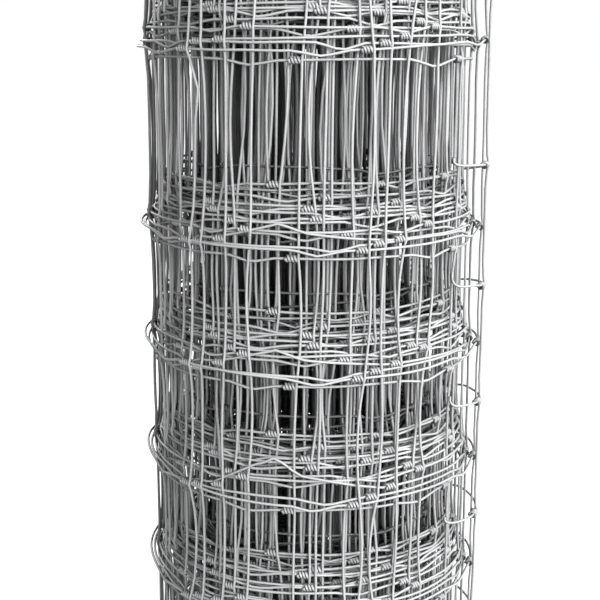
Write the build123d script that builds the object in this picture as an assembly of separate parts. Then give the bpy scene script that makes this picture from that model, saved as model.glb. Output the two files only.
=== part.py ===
# Roll of woven wire stock fencing, standing on its end.
# One length of fence, wound clockwise outwards seen from above, open at its bore.
import os
from math import cos, degrees, pi, radians, sin

from build123d import *

# Fence as it is woven: line wires along its length, stay wires knotted across them
line_gaps = (100.0, 100.0, 100.0, 100.0, 100.0, 150.0, 150.0)
line_wire_diameter = 2.2
stay_spacing = 149.0
stay_diameter = 2.3
knot_diameter = 7.0

# Roll
roll_radius = 142.5
bore_radius = 38.0
rest_width = 14.0

# Turns slid up the roll: steps of a few turns each, up from the outside and down again to the bore
slide_height = 56.0
outer_step_width = 4.3
outer_step_count = 3
inner_step_count = 4

# Cage of the outermost turns: a belt of line wires at each height, joined by stays
belt_width = 6.0
cage_depth = 9.5

# Free end, sprung off the roll on the right and lifted up it
end_angle = -17.0
end_standoff = 9.0
end_lift = 57.0
tail_turn = 110.0
tail_bow_share = 0.3
hook_turn = 19.0
hook_rise = 8.0
wire_sides = 5

line_radius = line_wire_diameter / 2
knot_radius = knot_diameter / 2
wound_radius = roll_radius - line_radius
cage_radius = roll_radius - cage_depth
rest_radius = roll_radius - rest_width
slide_radius = rest_radius - outer_step_width * outer_step_count
outer_step_height = slide_height / outer_step_count
inner_step_width = (slide_radius - bore_radius) / inner_step_count
inner_step_height = slide_height / inner_step_count
stays_a_turn = int(2 * pi * wound_radius / stay_spacing)
bowed_radius = wound_radius + end_standoff * tail_bow_share
bowed_angle = end_angle + tail_turn / 2
bowed_lift = end_lift / 2
end_radius = wound_radius + end_standoff
fence_height = sum(line_gaps)
line_heights = [knot_radius + sum(line_gaps[:count]) for count in range(len(line_gaps) + 1)]
top_height = fence_height + knot_diameter


def end_section(level):
    """Half section of one end, from the bore out over the steps to the side."""
    points = [(bore_radius, 0, level)]
    for step in range(1, inner_step_count + 1):
        radius = bore_radius + step * inner_step_width
        height = level + step * inner_step_height
        points.append((radius, 0, height - inner_step_height))
        points.append((radius, 0, height))
    for step in range(1, outer_step_count + 1):
        radius = slide_radius + step * outer_step_width
        height = level + slide_height - step * outer_step_height
        points.append((radius, 0, height + outer_step_height))
        points.append((radius, 0, height))
    points.append((roll_radius, 0, level))
    return points


def belt(height):
    """Half section of one belt, from the turns behind it out and back."""
    return [
        (cage_radius, 0, height - belt_width / 2),
        (roll_radius, 0, height - belt_width / 2),
        (roll_radius, 0, height + belt_width / 2),
        (cage_radius, 0, height + belt_width / 2),
    ]


def around(radius, angle, height):
    return Vector(radius * cos(radians(angle)), radius * sin(radians(angle)), height)


def wire(path, diameter):
    return sweep(Plane(path @ 0, z_dir=path % 0) * RegularPolygon(diameter / 2, wire_sides), path=path)


def stay(radius, angle, lift):
    """Upright stay from the lowest line wire to the highest."""
    foot = around(radius, angle, line_heights[0] + lift)
    head = around(radius, angle, line_heights[-1] + lift)
    return wire(Line(foot, head), stay_diameter)


# Wound body, turned in one with its bore
section = end_section(0)
section += belt(line_heights[0])[2:]
for line_height in line_heights[1:-1]:
    section += belt(line_height)
section += belt(line_heights[-1])[:2]
section += reversed(end_section(top_height))
roll = revolve(make_face(Polyline(*section, close=True)), Axis.Z)

# Stays of the outermost turn, held at its belts and free between them
for number in range(2, stays_a_turn + 2):
    roll += stay(roll_radius, end_angle + degrees(number * stay_spacing / wound_radius), 0)

# Free end: each line wire leaves the roll, passes the last two stays and hooks back into the turns
for line_height in line_heights:
    leaving = around(wound_radius, end_angle + tail_turn, line_height)
    bowed = around(bowed_radius, bowed_angle, line_height + bowed_lift)
    passing = around(end_radius, end_angle, line_height + end_lift)
    tucked = around(wound_radius, end_angle - hook_turn, line_height + end_lift + hook_rise)
    tail = ThreePointArc(leaving, bowed, passing)
    hook = TangentArc(passing, tucked, tangent=tail % 1)
    roll += wire(tail, line_wire_diameter)
    roll += wire(hook, line_wire_diameter)
roll += stay(bowed_radius, bowed_angle, bowed_lift)
roll += stay(end_radius, end_angle, end_lift)

os.makedirs("parts", exist_ok=True)
export_step(roll, "parts/fence_roll.step")
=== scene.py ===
import math

import bpy
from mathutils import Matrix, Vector


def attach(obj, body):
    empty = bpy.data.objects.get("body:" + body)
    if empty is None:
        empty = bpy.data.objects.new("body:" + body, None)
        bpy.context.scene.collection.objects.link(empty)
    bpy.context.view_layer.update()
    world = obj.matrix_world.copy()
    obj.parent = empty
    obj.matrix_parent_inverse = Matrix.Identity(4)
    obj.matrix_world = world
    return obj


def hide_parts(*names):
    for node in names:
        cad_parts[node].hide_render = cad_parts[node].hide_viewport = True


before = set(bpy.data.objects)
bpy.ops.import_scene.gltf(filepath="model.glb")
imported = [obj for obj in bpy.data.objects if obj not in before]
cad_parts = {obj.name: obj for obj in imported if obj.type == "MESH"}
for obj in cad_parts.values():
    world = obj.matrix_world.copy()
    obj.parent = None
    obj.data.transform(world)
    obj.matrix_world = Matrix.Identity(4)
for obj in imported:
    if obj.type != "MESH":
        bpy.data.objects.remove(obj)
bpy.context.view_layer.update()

# Fence, in metres
LINE_GAPS = (0.1, 0.1, 0.1, 0.1, 0.1, 0.15, 0.15)
LINE_WIRE = 0.0022
STAY_WIRE = 0.0023
INNER_STAY_WIRE = 0.0036
KNOT_RADIUS = 0.0035
STAY_SPACING = 0.149
FENCE_LENGTH = 50.0

# Crimps in the line wires: place and reach as shares of the way between stays, and depth
CRIMP_PLACES = (0.73, 0.79)
CRIMP_REACHES = (0.12, 0.17)
CRIMP_TIP = 0.01
CRIMP_DEPTHS = (-0.0055, -0.0035)
FLOOR_CRIMP = 0.4

# Knots: turns of a wrap and their pitch in wires, its start beside the stay, and its tip that stands off
WRAP_TURNS = 1.8
WRAP_PITCH = 2.15
WRAP_START = -0.001
WRAP_TIP = 0.9
TIP_STANDOFF = 1.3

# Stays: bow sideways, sag inwards, and stray along the fence, which is small for the stays that show
STAY_BOW = 0.0024
STAY_WIDE_BOW = 0.003
STAY_SAG = 0.0009
STRAY_SHARES = (-0.4, 1.0)
SHOWN_STAYS = 34.0
HIDDEN_STAYS = 60.0
SHOWN_STRAY = 0.003
HIDDEN_STRAY = 0.04
NEAR_KNOT = 0.05
NEAR_KNOT_RISE = 0.45

# Roll, in metres and radians, and in turns counted from the free end inwards
WOUND_RADIUS = 0.141
CORE_RADIUS = 0.0393
END_ANGLE = math.radians(-17.0)
TWIST = 0.134
TWIST_HEIGHT = 0.45
FINE_TURNS = 13

# Slide of each outer turn up the roll, and of the deeper ones, which is uneven and less near the core
TURN_SLIDES = (
    0.0, 0.0035, 0.008, 0.0165, -0.007, 0.0125, 0.0205, 0.0245,
    0.0285, 0.0325, 0.0365, 0.0405, 0.0445, 0.048, 0.032,
)
SLIDE_START = 0.05
SLIDE_END = 0.55
UNEVEN_TURNS = (9.0, 16.0)
UNEVEN_RATE = 0.53
UNEVEN_SLIDE = 0.042
CORE_TURN = 30.0
CORE_SLIDE = 0.3
LEAST_SLIDE = -0.12

# Free end, and how its hooks differ from line to line
END_STANDOFF = 0.009
END_LIFT = 0.057
SPRUNG_LENGTH = 0.42
HOOK_STEPS = 5
HOOK_RISE_SPREAD = 0.4
HOOK_RISE_RATE = 2.1
HOOK_REACH = 0.94
HOOK_REACH_SPREAD = 0.08
HOOK_REACH_RATE = 1.3

# Loose places in the outer turns: place along the fence, reach to either side, and standoff
LEFT_LOOPS = ((0.46, 0.2, 0.005), (1.34, 0.16, 0.003))
RIGHT_LOOP = (0.89, 0.16, 0.006)

# Loops on the left: share that stays between them are tucked in by, and share they lift by at two heights
LOOP_TUCK = 0.7
LOOP_LIFT_HEIGHTS = (0.2, 0.65)
LOOP_LIFTS = (2.4, 0.6)

# Loose peak in the line wires: its turn, the heights that it is at, how tall it is, and its rise and fall
PEAK_TURN = 2.775
PEAK_MIDDLE = 0.4
PEAK_REACH = (0.11, 0.13)
PEAK_LOW = 0.3
PEAK_HEIGHTS = (0.03, 0.014)
PEAK_RISE = 0.056
PEAK_DROP = 0.02
PEAK_FALL = 0.09
PEAK_CLEAR = 0.1

# Stay knocked out of line: its number, its gap between line wires, and its kink's height, reach and size
KNOCKED_STAY = 4
KNOCKED_GAP = 5
KINK_HEIGHT = 0.12
KINK_REACH = 0.03
KINK_SIZE = 0.006

# Unevenness of the wound fence in metres, with rates along it and up it, and a layer of noise for each
WANDER = 0.002
WANDER_RATES = (1.6, 3.0, 4.0)
RIPPLE = 0.0026
RIPPLE_RATES = (11.0, 7.3, 0.0)
SWELL = 0.005
SWELL_RATES = (2.6, 3.1, 8.0)
NEAR_FLOOR = 0.05
NEAR_END = 0.1
DENT = 0.0016
DENT_SCALE = 1.3
DENT_RISE_RATE = 3.0
DENT_TURN_RATE = 0.04

# Stays drawn on a little in the first length of fence, and held back over the turns after it
DRAWN_LENGTH = 0.6
DRAWN_ON = 0.0017
HELD_LENGTH = 5.4
HELD_BACK = 0.0258

# Seeds of what differs from crimp to crimp and from stay to stay
CRIMP_PLACE_SEED = 17
CRIMP_REACH_SEED = 18
CRIMP_DEPTH_SEED = 19
BOW_SEED = 3
SAG_SEED = 5

# Zinc: its colours, its patches and grain, and its roughness where it is bright and dull
BRIGHT_ZINC = (0.62, 0.625, 0.63, 1.0)
DULL_ZINC = (0.51, 0.515, 0.52, 1.0)
# Near black that the painted shade blends the zinc towards
PAINTED_SHADE_BLACK = (0.02, 0.02, 0.021, 1.0)
PATCH_SCALE = 26.0
GRAIN_SCALE = 900.0
PATCH_SHARE = 0.6
DULL_FROM = 0.35
DULL_TO = 0.65
ROUGHNESSES = (0.4, 0.6)

# Painted shade on the zinc: two radii, heights or amounts of facing out or up, and how dark it is at each
DEEP_LINES = (0.109, 0.131, 0.8, 0.0)
DEEP_STAYS = (0.09, 0.137, 0.28, 0.09)
CORE_STAYS = (0.068, 0.09, 0.52, 0.0)
BELOW_TOP = (0.72, 0.8, 1.0, 0.0)
LINE_FLANKS = (0.1, 0.95, 0.85, 0.0)
STAY_FLANKS = (0.1, 0.85, 0.45, 0.0)
# Weight of facing up, beside facing out, in the painted light on the wires
UPWARD_LIGHT_SHARE = 0.45

# Camera: the photograph's width and focal length in pixels, a sensor in millimetres, and a place in metres
PHOTO_WIDTH = 600.0
PHOTO_FOCAL_LENGTH = 1185.0
SENSOR_WIDTH = 36.0
CAMERA_PLACE = (-0.0091, -1.019, 0.651)
CAMERA_TILT = math.radians(11.83)

# Room, in metres: a floor that glows less close to the roll, where its shadow falls
FLOOR_HALF_WIDTH = 40.0
FLOOR_GREY = (0.36, 0.36, 0.36, 1.0)
SHADOW_REACH = (0.14, 0.55)
SHADOW_GLOW = 0.5
ROOM_LIGHT = 0.02
LAMP_AIM = (0.0, 0.0, 0.45)

LINE_HEIGHTS = [KNOT_RADIUS + sum(LINE_GAPS[:count]) for count in range(len(LINE_GAPS) + 1)]
LINE_COUNT = len(LINE_HEIGHTS)
WRAP_RADIUS = (LINE_WIRE + STAY_WIRE) / 2
TURN_PITCH = (WOUND_RADIUS**2 - CORE_RADIUS**2) * math.pi / FENCE_LENGTH
TURN_COUNT = (WOUND_RADIUS - CORE_RADIUS) / TURN_PITCH


def length_at(turn):
    """Fence wound between the free end and this turn."""
    radius = WOUND_RADIUS - TURN_PITCH * turn
    return (WOUND_RADIUS**2 - radius**2) * math.pi / TURN_PITCH


def stays_in(length):
    """Number of stays in a length of fence from the free end."""
    return int(length / STAY_SPACING) + 1


class Value:
    """A node's output, which takes part in sums."""

    def __init__(self, nodes, socket):
        self.nodes = nodes
        self.socket = socket

    def at(self, out):
        return Value(self.nodes, self.socket.node.outputs[out])

    def __add__(self, other):
        return self.nodes.math("ADD", self, other)

    def __radd__(self, other):
        return self.nodes.math("ADD", other, self)

    def __sub__(self, other):
        return self.nodes.math("SUBTRACT", self, other)

    def __rsub__(self, other):
        return self.nodes.math("SUBTRACT", other, self)

    def __mul__(self, other):
        return self.nodes.math("MULTIPLY", self, other)

    def __rmul__(self, other):
        return self.nodes.math("MULTIPLY", other, self)

    def __truediv__(self, other):
        return self.nodes.math("DIVIDE", self, other)

    def __rtruediv__(self, other):
        return self.nodes.math("DIVIDE", other, self)


class Nodes:
    """Adds nodes to one tree, of a material, of the room or of a wire's making."""

    def __init__(self, tree):
        self.tree = tree

    def add(self, kind, inputs=(), out=0, **settings):
        node = self.tree.nodes.new(kind)
        for name, setting in settings.items():
            setattr(node, name, setting)
        for key, given in dict(inputs).items():
            if isinstance(given, Value):
                self.feed(given, node.inputs[key])
            else:
                node.inputs[key].default_value = given
        return Value(self, node.outputs[out])

    def feed(self, value, socket):
        self.tree.links.new(value.socket, socket)

    def math(self, operation, *terms):
        return self.add("ShaderNodeMath", dict(enumerate(terms)), operation=operation)

    def ramp(self, value, start, end, first, last, smooth=False):
        """Goes from the first value to the last while the value given goes from start to end."""
        inputs = {0: value, 1: start, 2: end, 3: first, 4: last}
        kind = "SMOOTHSTEP" if smooth else "LINEAR"
        return self.add("ShaderNodeMapRange", inputs, interpolation_type=kind)

    def apart(self, value, place):
        return self.math("ABSOLUTE", value - place)

    def hump(self, value, place, reach, height, smooth=True):
        """Rises to its height at a place, from nothing at its reach on either side."""
        return self.ramp(self.apart(value, place), 0.0, reach, height, 0.0, smooth)

    def either(self, share, first, second):
        """The first value where the share is 0, and the second where it is 1."""
        return first + (second - first) * share

    def blend(self, share, first, second):
        """Either of two colours, or a mix of them."""
        return self.add("ShaderNodeMix", {0: share, 6: first, 7: second}, out=2, data_type="RGBA")

    def vector(self, x, y, z):
        return self.add("ShaderNodeCombineXYZ", {0: x, 1: y, 2: z})

    def parts(self, vector):
        split = self.add("ShaderNodeSeparateXYZ", {0: vector})
        return split, split.at(1), split.at(2)

    def from_axis(self, east, north):
        """Distance from the roll's axis."""
        return self.math("SQRT", east * east + north * north)

    def drift(self, scale, detail=0.0, vector=None, w=None):
        """Smooth noise between about -1 and 1."""
        inputs = {"Scale": scale, "Detail": detail}
        dimensions = "1D" if vector is None else "3D" if w is None else "4D"
        if vector is not None:
            inputs["Vector"] = vector
        if w is not None:
            inputs["W"] = w
        return self.add("ShaderNodeTexNoise", inputs, noise_dimensions=dimensions) * 2.0 - 1.0

    def chance(self, low, high, key, seed):
        """Even chance between two values, the same for the same key."""
        inputs = {2: low, 3: high, 7: key, 8: seed}
        return self.add("FunctionNodeRandomValue", inputs, out=1, data_type="FLOAT")


# Finish: dull bright zinc, with painted shade deep in the roll and on the flanks and undersides of its wires
def new_finish(name):
    """A material, its nodes, and the sockets of its shader."""
    material = bpy.data.materials.new(name)
    material.use_nodes = True
    return material, Nodes(material.node_tree), material.node_tree.nodes["Principled BSDF"].inputs


def zinc_finish():
    material, nodes, sockets = new_finish("zinc_wire")
    place = nodes.add("ShaderNodeTexCoord", out="Object")
    patch = nodes.add("ShaderNodeTexNoise", {"Vector": place, "Scale": PATCH_SCALE, "Detail": 3.0})
    grain = nodes.add("ShaderNodeTexNoise", {"Vector": place, "Scale": GRAIN_SCALE, "Detail": 2.0})
    mottle = patch * PATCH_SHARE + grain * (1.0 - PATCH_SHARE)
    dull = nodes.ramp(mottle, DULL_FROM, DULL_TO, 0.0, 1.0)
    tint = nodes.blend(dull, BRIGHT_ZINC, DULL_ZINC)

    # Painted shade by depth in the roll, also a little on all stays, fading out up to its open top
    east, north, up = nodes.parts(place)
    radius = nodes.from_axis(east, north)
    upright = nodes.add("ShaderNodeAttribute", out="Fac", attribute_name="upright")
    deep_lines = nodes.ramp(radius, *DEEP_LINES)
    deep_stays = nodes.ramp(radius, *DEEP_STAYS) + nodes.ramp(radius, *CORE_STAYS)
    shade = nodes.either(upright, deep_lines, deep_stays) * nodes.ramp(up, *BELOW_TOP)
    tint = nodes.blend(shade, tint, PAINTED_SHADE_BLACK)

    # Painted shade on flanks and undersides, which face away from the light from outside and above
    painted_light_facing = nodes.add("ShaderNodeAttribute", out="Fac", attribute_name="painted_light_facing")
    flanks = nodes.either(upright, nodes.ramp(painted_light_facing, *LINE_FLANKS), nodes.ramp(painted_light_facing, *STAY_FLANKS))
    tint = nodes.blend(flanks, tint, PAINTED_SHADE_BLACK)

    nodes.feed(tint, sockets["Base Color"])
    nodes.feed(nodes.ramp(dull, 0.0, 1.0, *ROUGHNESSES), sockets["Roughness"])
    bump = nodes.add("ShaderNodeBump", {"Height": grain, "Distance": 0.0002, "Strength": 0.25})
    nodes.feed(bump, sockets["Normal"])
    sockets["Metallic"].default_value = 0.03
    sockets["Specular IOR Level"].default_value = 0.2
    return material


zinc = zinc_finish()


# Making of wires
def wire_tree(name, sizes, weave):
    """A tree that weaves wires from a rail, with a named input for each size."""
    tree = bpy.data.node_groups.new(name, "GeometryNodeTree")
    tree.is_modifier = True
    tree.interface.new_socket("Rail", in_out="INPUT", socket_type="NodeSocketGeometry")
    for size in sizes:
        kind = "NodeSocketInt" if size.endswith(("Count", "Seed")) else "NodeSocketFloat"
        tree.interface.new_socket(size, in_out="INPUT", socket_type=kind)
    tree.interface.new_socket("Wires", in_out="OUTPUT", socket_type="NodeSocketGeometry")
    nodes = Nodes(tree)
    given = tree.nodes.new("NodeGroupInput")
    wires = weave(nodes, *[Value(nodes, given.outputs[socket]) for socket in ["Rail", *sizes]])
    nodes.feed(wires, tree.nodes.new("NodeGroupOutput").inputs[0])
    return tree


def position(nodes):
    return nodes.parts(nodes.add("GeometryNodeInputPosition"))


def moved(nodes, geometry, x=0.0, y=0.0, z=0.0):
    return nodes.add("GeometryNodeSetPosition", {"Geometry": geometry, "Offset": nodes.vector(x, y, z)})


def put_at(nodes, geometry, place):
    return nodes.add("GeometryNodeSetPosition", {"Geometry": geometry, "Position": place})


def marked(nodes, geometry, name, value):
    """Geometry whose points carry a value under a name."""
    mark = {"Geometry": geometry, "Name": name, "Value": value}
    return nodes.add("GeometryNodeStoreNamedAttribute", mark, data_type="FLOAT", domain="POINT")


def carried(nodes, name):
    return nodes.add("GeometryNodeInputNamedAttribute", {"Name": name}, data_type="FLOAT")


def set_at(nodes, points, piece):
    placed = nodes.add("GeometryNodeInstanceOnPoints", {"Points": points, "Instance": piece})
    return nodes.add("GeometryNodeRealizeInstances", {"Geometry": placed})


def row(nodes, count, start, step):
    """A row of joined points along the flat fence."""
    ends = {"Start Location": nodes.vector(start, 0.0, 0.0), "Offset": nodes.vector(step, 0.0, 0.0)}
    return nodes.add("GeometryNodeMeshLine", {"Count": count, **ends}, mode="OFFSET")


def curve_of(nodes, rail):
    return nodes.add("GeometryNodeMeshToCurve", {"Mesh": rail})


def drawn(nodes, curve, diameter, sides):
    """Round wire drawn along a curve."""
    size = {"Resolution": sides, "Radius": diameter / 2.0}
    ring = nodes.add("GeometryNodeCurvePrimitiveCircle", size, mode="RADIUS")
    return nodes.add("GeometryNodeCurveToMesh", {"Curve": curve, "Profile Curve": ring, "Fill Caps": True})


def finished(nodes, wires):
    """Wires in zinc, marked with how far each side of them faces out of the roll or up, which sets their
    painted shade.
    """
    east, north, height = position(nodes)
    face_east, face_north, face_up = nodes.parts(nodes.add("GeometryNodeInputNormal"))
    outward = (east * face_east + north * face_north) / nodes.from_axis(east, north)
    wires = marked(nodes, wires, "painted_light_facing", outward + face_up * UPWARD_LIGHT_SHARE)
    smooth = nodes.add("GeometryNodeSetShadeSmooth", {"Geometry": wires, "Shade Smooth": True})
    return nodes.add("GeometryNodeSetMaterial", {"Geometry": smooth, "Material": zinc})


# Winding
def left_loops(nodes, along):
    """How far the two outermost turns stand off the roll on its left."""
    first, second = LEFT_LOOPS
    return nodes.hump(along, *first) + nodes.hump(along, *second)


def uneven(nodes, along, up, rates, detail=0.0):
    """Smooth noise between about -1 and 1 along the fence and up it, from a layer of its own."""
    along_rate, up_rate, layer = rates
    return nodes.drift(1.0, detail, vector=nodes.vector(along * along_rate, up * up_rate, layer))


def settled(nodes, along, foot):
    """Place along the fence once it is wound, a little off the even one."""
    along = along + uneven(nodes, along, foot, WANDER_RATES) * WANDER
    drawn_on = nodes.ramp(along, 0.0, DRAWN_LENGTH, 0.0, DRAWN_ON)
    held_back = nodes.ramp(along, DRAWN_LENGTH, HELD_LENGTH, 0.0, HELD_BACK)
    return along + drawn_on - held_back


def slid(nodes, turn):
    """How far a turn has slid up the roll."""
    slide = nodes.drift(UNEVEN_RATE, detail=1.0, w=turn) * nodes.ramp(turn, *UNEVEN_TURNS, 0.0, UNEVEN_SLIDE)
    for number, (last, this) in enumerate(zip(TURN_SLIDES, TURN_SLIDES[1:]), start=1):
        start = number + SLIDE_START
        end = number + SLIDE_END
        slide = slide + nodes.ramp(turn, start, end, 0.0, this - last, smooth=True)
    return slide * nodes.ramp(turn, CORE_TURN, TURN_COUNT, 1.0, CORE_SLIDE)


def waved(nodes, along, foot):
    """How far a line wire waves up and down, but for the lowest one, on the floor, and the free end."""
    line = nodes.math("ROUND", foot / (LINE_GAPS[0] / 2.0))
    ripple = uneven(nodes, along, line, RIPPLE_RATES, detail=1.0) * RIPPLE
    swell = uneven(nodes, along, line, SWELL_RATES) * SWELL
    off_floor = nodes.ramp(foot, 0.0, NEAR_FLOOR, 0.0, 1.0)
    return (ripple + swell) * off_floor * nodes.ramp(along, 0.0, NEAR_END, 0.0, 1.0)


def wound(nodes, flat):
    """Winds flat fence, which runs along X from its free end and faces out along Y, into a standing roll."""
    along, out, height = position(nodes)
    foot = height - KNOT_RADIUS
    along = settled(nodes, along, foot)
    radius = nodes.math("SQRT", nodes.math("MAXIMUM", WOUND_RADIUS**2 - along * (TURN_PITCH / math.pi), 0.0))
    turn = (WOUND_RADIUS - radius) / TURN_PITCH
    angle = turn * (2.0 * math.pi) + END_ANGLE + (foot - TWIST_HEIGHT) * TWIST
    east = nodes.math("COSINE", angle)
    north = nodes.math("SINE", angle)

    # Up the roll: turns that have slid, the lifted free end, and waves
    left = left_loops(nodes, along)
    right = nodes.hump(along, *RIGHT_LOOP)
    sprung = nodes.ramp(along, 0.0, SPRUNG_LENGTH, 1.0, 0.0)
    lift = sprung * END_LIFT + left * nodes.ramp(foot, *LOOP_LIFT_HEIGHTS, *LOOP_LIFTS)
    shift = nodes.math("MAXIMUM", slid(nodes, turn) + right + lift, foot * LEAST_SLIDE)

    # Out of the roll: the sprung free end, loose places, and turns a little out of round together
    round_place = nodes.vector(east, north, foot * DENT_RISE_RATE)
    dent = nodes.drift(DENT_SCALE, vector=round_place, w=turn * DENT_TURN_RATE) * DENT
    radius = radius + out + sprung * sprung * END_STANDOFF + right + left + dent
    upward = height + shift + waved(nodes, along, foot)
    return put_at(nodes, flat, nodes.vector(radius * east, radius * north, upward))


# Line wires, stays, knots and hooks
def crimped(nodes, along, height):
    """Drop of a line wire at its crimp, once between stays, each a little different."""
    spans = along / STAY_SPACING
    span = nodes.math("FLOOR", spans) * LINE_COUNT + nodes.math("ROUND", height / LINE_GAPS[0])
    place = nodes.chance(*CRIMP_PLACES, span, CRIMP_PLACE_SEED)
    reach = nodes.chance(*CRIMP_REACHES, span, CRIMP_REACH_SEED)
    depth = nodes.chance(*CRIMP_DEPTHS, span, CRIMP_DEPTH_SEED)
    crimp = nodes.ramp(nodes.apart(nodes.math("FRACT", spans), place), CRIMP_TIP, reach, depth, 0.0)
    return crimp * nodes.ramp(height, 0.0, NEAR_FLOOR, FLOOR_CRIMP, 1.0)


def peaked(nodes, past, height):
    """Rise of the line wires to the loose peak, and their fall past it in two slopes."""
    tall = nodes.ramp(height, PEAK_LOW, PEAK_MIDDLE, *PEAK_HEIGHTS)
    tall = nodes.ramp(nodes.apart(height, PEAK_MIDDLE), *PEAK_REACH, tall, 0.0)
    rise = nodes.ramp(past, -PEAK_RISE, 0.0, 0.0, tall)
    half = tall * 0.5
    drop = nodes.ramp(past, 0.0, PEAK_DROP, 0.0, half)
    fall = nodes.ramp(past, PEAK_DROP, PEAK_FALL, 0.0, half)
    return rise - drop - fall


def weave_line_wires(nodes, rail, start, length, step, diameter, sides):
    """A run of line wire at each height of the rail, crimped once between stays."""
    lines = set_at(nodes, rail, row(nodes, length / step + 1.0, start, step))
    along, out, height = position(nodes)
    past = along - length_at(PEAK_TURN)
    clear_of_peak = nodes.ramp(nodes.apart(past, PEAK_DROP), PEAK_FALL, PEAK_CLEAR, 0.0, 1.0)
    rise = crimped(nodes, along, height) * clear_of_peak + peaked(nodes, past, height)
    rolled = wound(nodes, moved(nodes, lines, z=rise))
    return finished(nodes, drawn(nodes, curve_of(nodes, rolled), diameter, sides))


def stay_places(nodes, first, count, seed):
    """Points along the flat fence, one for each stay, and each stay's number."""
    number = nodes.add("GeometryNodeInputIndex") + first
    stray = nodes.ramp(number, SHOWN_STAYS, HIDDEN_STAYS, SHOWN_STRAY, HIDDEN_STRAY)
    even = row(nodes, count, first * STAY_SPACING, STAY_SPACING)
    places = moved(nodes, even, x=nodes.chance(*STRAY_SHARES, number, seed) * stray)
    return marked(nodes, places, "stay", number)


def weave_stays(nodes, rail, first, count, seed, diameter, sides):
    """A stay up the fence at each place, over every line wire and bowed between them."""
    stays = set_at(nodes, stay_places(nodes, first, count, seed), rail)
    along, out, up = position(nodes)
    slack = carried(nodes, "slack")
    span = carried(nodes, "stay") * LINE_COUNT + carried(nodes, "gap")
    lean = nodes.chance(-1.0, 1.0, span, BOW_SEED)
    bow = (lean * STAY_BOW + lean * lean * lean * STAY_WIDE_BOW) * slack
    sag = nodes.chance(-STAY_SAG, STAY_SAG, span, SAG_SEED) - left_loops(nodes, along) * LOOP_TUCK

    knocked_span = {0: span, 1: KNOCKED_STAY * LINE_COUNT + KNOCKED_GAP, "Epsilon": 0.1}
    knocked = nodes.add("FunctionNodeCompare", knocked_span, data_type="FLOAT", operation="EQUAL")
    kink_place = LINE_HEIGHTS[KNOCKED_GAP] + KINK_HEIGHT
    kink = nodes.hump(up, kink_place, KINK_REACH, KINK_SIZE, smooth=False) * knocked

    bowed = moved(nodes, stays, x=bow + kink, y=carried(nodes, "over") * WRAP_RADIUS + sag * slack)
    wires = drawn(nodes, curve_of(nodes, wound(nodes, bowed)), diameter, sides)
    return finished(nodes, marked(nodes, wires, "upright", 1.0))


def weave_knots(nodes, rail, first, count, seed, diameter, sides, steps):
    """Two stay ends wrapped side by side round the line wire, left of the stay, at each crossing."""
    wraps = nodes.add("GeometryNodeJoinGeometry")
    for phase in (0.0, math.pi):
        share = nodes.add("GeometryNodeInputIndex") / steps
        around = share * (2.0 * math.pi * WRAP_TURNS) - math.pi / 2.0 + phase
        reach = nodes.ramp(share, WRAP_TIP, 1.0, WRAP_RADIUS, WRAP_RADIUS * TIP_STANDOFF)
        along = share * (-WRAP_TURNS * WRAP_PITCH * STAY_WIRE) + WRAP_START
        place = nodes.vector(along, reach * nodes.math("COSINE", around), reach * nodes.math("SINE", around))
        helix = put_at(nodes, row(nodes, steps + 1.0, 0.0, STAY_WIRE), place)
        nodes.feed(drawn(nodes, curve_of(nodes, helix), diameter, sides), wraps.socket.node.inputs[0])
    crossings = set_at(nodes, stay_places(nodes, first, count, seed), rail)
    knots = wound(nodes, set_at(nodes, crossings, wraps))
    return finished(nodes, nodes.add("GeometryNodeFlipFaces", {"Mesh": knots}))


def weave_hooks(nodes, rail, diameter, sides):
    """Cut ends of the line wires, bent smoothly along their rails."""
    curve = curve_of(nodes, wound(nodes, rail))
    spline = nodes.add("GeometryNodeCurveSplineType", {"Curve": curve}, spline_type="CATMULL_ROM")
    bend = nodes.add("GeometryNodeSetSplineResolution", {0: spline, "Resolution": HOOK_STEPS})
    return finished(nodes, drawn(nodes, bend, diameter, sides))


# Rails that the wires are woven from
def rail_mesh(name, runs, values=()):
    """Rails as plain lines of points, with the values that each point carries."""
    points = [point for run in runs for point in run]
    edges = []
    count = 0
    for run in runs:
        edges += [(count + step, count + step + 1) for step in range(len(run) - 1)]
        count += len(run)
    mesh = bpy.data.meshes.new(name)
    mesh.from_pydata(points, edges, [])
    for key, given in dict(values).items():
        mesh.attributes.new(key, "FLOAT", "POINT").data.foreach_set("value", given)
    return mesh


def stay_rail(name, shares):
    """One stay from foot to head: its points, with the gap, slack and rise over a line wire at each."""
    rises = {0.0: 1.0, NEAR_KNOT: NEAR_KNOT_RISE, 1.0 - NEAR_KNOT: NEAR_KNOT_RISE}
    points, gaps, slacks, overs = [], [], [], []
    for gap, size in enumerate(LINE_GAPS):
        for share in shares:
            points.append((0.0, 0.0, LINE_HEIGHTS[gap] + size * share))
            gaps.append(gap)
            slacks.append(math.sin(math.pi * share) * size / LINE_GAPS[0])
            overs.append(rises.get(share, 0.0))
    points.append((0.0, 0.0, LINE_HEIGHTS[-1]))
    gaps.append(len(LINE_GAPS) - 1)
    slacks.append(0.0)
    overs.append(1.0)
    return rail_mesh(name, [points], {"gap": gaps, "slack": slacks, "over": overs})


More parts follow.
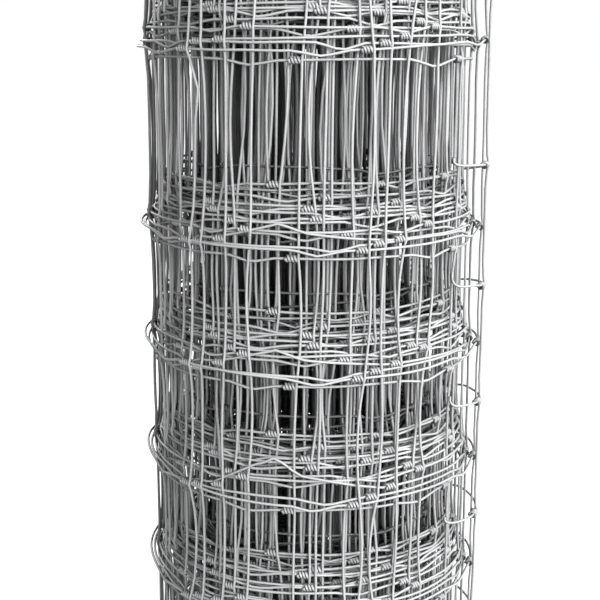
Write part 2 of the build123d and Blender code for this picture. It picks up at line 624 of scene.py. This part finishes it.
def hook_rails():
    """Cut line wires past the end stay: round and in towards the turns, with the tip curled up."""
    bend = ((0.004, 0.0, 0.0), (-0.012, 0.001, 0.001), (-0.026, -0.001, 0.0025), (-0.038, -0.005, 0.003))
    tip = ((-0.0455, -0.0085, 0.0045), (-0.0485, -0.0105, 0.008), (-0.048, -0.011, 0.0125))
    runs = []
    for line, height in enumerate(LINE_HEIGHTS):
        rise = 1.0 + HOOK_RISE_SPREAD * math.sin(HOOK_RISE_RATE * line)
        reach = HOOK_REACH + HOOK_REACH_SPREAD * math.sin(HOOK_REACH_RATE * line + 1.0)
        runs.append([(reach * x, y, height + rise * z) for x, y, z in bend + tip])
    return rail_mesh("hook_rails", runs)


# Pieces
def put(name, data):
    """An object in the scene."""
    thing = bpy.data.objects.new(name, data)
    bpy.context.scene.collection.objects.link(thing)
    return thing


def make(name, rail, weave, sizes):
    """Runs one weaving tree on a rail and keeps the wires as a plain mesh."""
    tree = wire_tree(name, sizes, weave)
    piece = put(name, rail)
    modifier = piece.modifiers.new("weave", "NODES")
    modifier.node_group = tree
    for socket in tree.interface.items_tree:
        if socket.name in sizes:
            modifier[socket.identifier] = sizes[socket.name]
    wires = bpy.data.meshes.new_from_object(piece.evaluated_get(bpy.context.evaluated_depsgraph_get()))
    piece.modifiers.remove(modifier)
    piece.data = wires
    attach(piece, "root")
    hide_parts("fence_roll")


line_rail = rail_mesh("line_rail", [[(0.0, 0.0, height)] for height in LINE_HEIGHTS])
fine_rail = stay_rail("fine_stay_rail", (0.0, NEAR_KNOT, 0.2, 0.35, 0.5, 0.65, 0.8, 1.0 - NEAR_KNOT))
plain_rail = stay_rail("plain_stay_rail", (0.0, 0.3, 0.5, 0.7))
outer_end = length_at(FINE_TURNS)
middle_end = length_at(TURN_COUNT / 2.0)
outer_stays = stays_in(outer_end)
middle_stays = stays_in(middle_end)
for name, start, end, step, sides in (
    ("outer_line_wires", 0.0, outer_end, 0.0075, 8),
    ("middle_line_wires", outer_end, middle_end, 0.016, 5),
    ("inner_line_wires", middle_end, FENCE_LENGTH, 0.0095, 4),
):
    run = {"Start": start, "Length": end - start, "Step": step}
    make(name, line_rail, weave_line_wires, {**run, "Diameter": LINE_WIRE, "Side Count": sides})
for name, rail, first, end, seed, diameter, sides, steps in (
    ("outer", fine_rail, 0, outer_stays, 469, STAY_WIRE, 6, 14),
    ("middle", plain_rail, outer_stays, middle_stays, 207, STAY_WIRE, 5, 8),
    ("inner", plain_rail, middle_stays, stays_in(FENCE_LENGTH), 215, INNER_STAY_WIRE, 4, 6),
):
    places = {"First": float(first), "Stay Count": end - first, "Place Seed": seed}
    make(name + "_stays", rail, weave_stays, {**places, "Diameter": diameter, "Side Count": sides})
    wraps = {"Diameter": STAY_WIRE, "Side Count": sides - 1, "Step Count": steps}
    make(name + "_knots", line_rail, weave_knots, {**places, **wraps})
make("hooked_ends", hook_rails(), weave_hooks, {"Diameter": LINE_WIRE, "Side Count": 8})


# Floor, light and camera
def seen(nodes):
    """1 where a surface is looked at, also in metal and through glass, and 0 where it lights other things."""
    path = nodes.add("ShaderNodeLightPath")
    mirrored = nodes.math("MAXIMUM", path.at("Is Glossy Ray"), path.at("Is Transmission Ray"))
    return nodes.math("MAXIMUM", path.at("Is Camera Ray"), mirrored)


def pale_floor():
    material, nodes, sockets = new_finish("pale_floor")
    sockets["Base Color"].default_value = FLOOR_GREY
    sockets["Roughness"].default_value = 0.9
    sockets["Emission Strength"].default_value = 1.0
    east, north, up = nodes.parts(nodes.add("ShaderNodeTexCoord", out="Object"))
    glow = seen(nodes) * nodes.ramp(nodes.from_axis(east, north), *SHADOW_REACH, SHADOW_GLOW, 1.0)
    nodes.feed(nodes.vector(glow, glow, glow), sockets["Emission Color"])
    near, far = -FLOOR_HALF_WIDTH, FLOOR_HALF_WIDTH
    corners = [(near, near, 0.0), (far, near, 0.0), (far, far, 0.0), (near, far, 0.0)]
    mesh = bpy.data.meshes.new("floor")
    mesh.from_pydata(corners, [], [(0, 1, 2, 3)])
    mesh.materials.append(material)
    floor = put("floor", mesh)


def white_room():
    world = bpy.data.worlds.new("white_room")
    world.use_nodes = True
    nodes = Nodes(world.node_tree)
    sockets = world.node_tree.nodes["Background"].inputs
    sockets["Color"].default_value = (1.0, 1.0, 1.0, 1.0)
    nodes.feed(nodes.ramp(seen(nodes), 0.0, 1.0, ROOM_LIGHT, 1.0), sockets["Strength"])
    bpy.context.scene.world = world


def lamp(name, place, size, power):
    light = bpy.data.lights.new(name, "AREA")
    light.shape = "DISK"
    light.size = size
    light.energy = power
    stand = put(name, light)
    stand.location = place
    stand.rotation_euler = (Vector(LAMP_AIM) - Vector(place)).to_track_quat("-Z", "Y").to_euler()


def camera():
    view = bpy.data.cameras.new("camera")
    view.sensor_width = SENSOR_WIDTH
    view.lens = SENSOR_WIDTH * PHOTO_FOCAL_LENGTH / PHOTO_WIDTH
    stand = put("camera", view)
    stand.location = CAMERA_PLACE
    stand.rotation_euler = (math.pi / 2.0 - CAMERA_TILT, 0.0, 0.0)
    bpy.context.scene.camera = stand


pale_floor()
white_room()
lamp("key", (1.8, -1.1, 2.2), size=1.2, power=65.0)
lamp("fill", (1.0, -2.6, 1.1), size=1.4, power=80.0)
lamp("back", (-1.1, 2.5, 1.4), size=1.6, power=70.0)
camera()
bpy.context.scene.view_settings.view_transform = "Standard"
